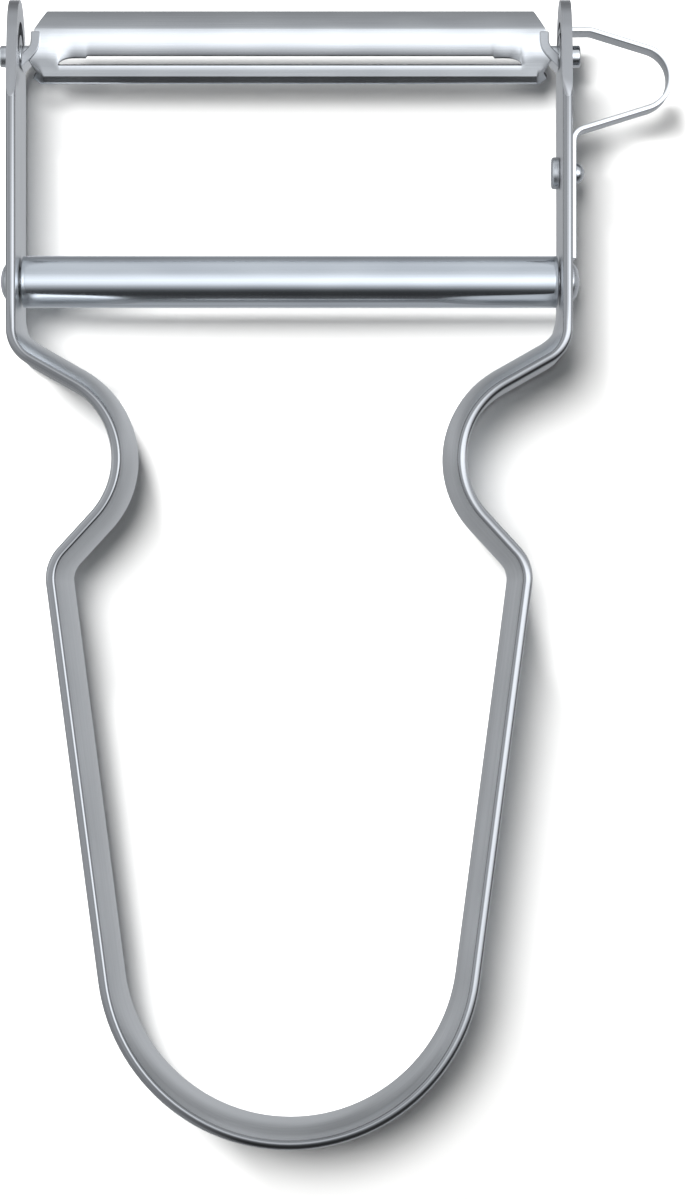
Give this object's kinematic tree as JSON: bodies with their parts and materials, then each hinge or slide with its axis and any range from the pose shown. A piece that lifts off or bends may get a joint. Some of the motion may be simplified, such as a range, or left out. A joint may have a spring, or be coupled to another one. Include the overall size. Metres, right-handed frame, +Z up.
{
  "type": "vegetable peeler",
  "caption": "Hand peeler with a bent aluminium strip handle, a swivelling slotted steel blade between two ears, a spacer tube and a looped eye gouge.",
  "frame": {"origin": "middle of the flat land of the back rim, at the round end of the handle", "axes": "+Y along the handle from the round end towards the blade, +X across towards the gouge, +Z up from the back rim to the front rim"},
  "size_m": [0.0647, 0.11, 0.011],
  "materials": {
    "handle_aluminium": "satin, tumbled",
    "blade_steel": "polished stainless",
    "pin_steel": "turned bright",
    "tube_steel": "drawn and polished",
    "rivet_steel": "pressed, plain",
    "gouge_steel": "bright rolled strip"
  },
  "bodies": {
    "frame": {"handle_strap": "handle_aluminium", "tube_rivet": "rivet_steel", "eye_gouge": "gouge_steel", "gouge_rivet": "rivet_steel"},
    "blade": {"peeling_blade": "blade_steel", "pivot_pin_left": "pin_steel", "pivot_pin_right": "pin_steel"},
    "tube": {"spacer_tube": "tube_steel"}
  },
  "joints": [
    {"name": "blade_swivel", "type": "hinge", "parent": "frame", "child": "blade", "pos_m": [0, 0.10415, 0.0055], "axis": [1, 0, 0], "range_deg": [-45, 45]},
    {"name": "tube_spin", "type": "hinge", "parent": "frame", "child": "tube", "pos_m": [0, 0.08243, 0.0055], "axis": [1, 0, 0], "continuous": true}
  ]
}
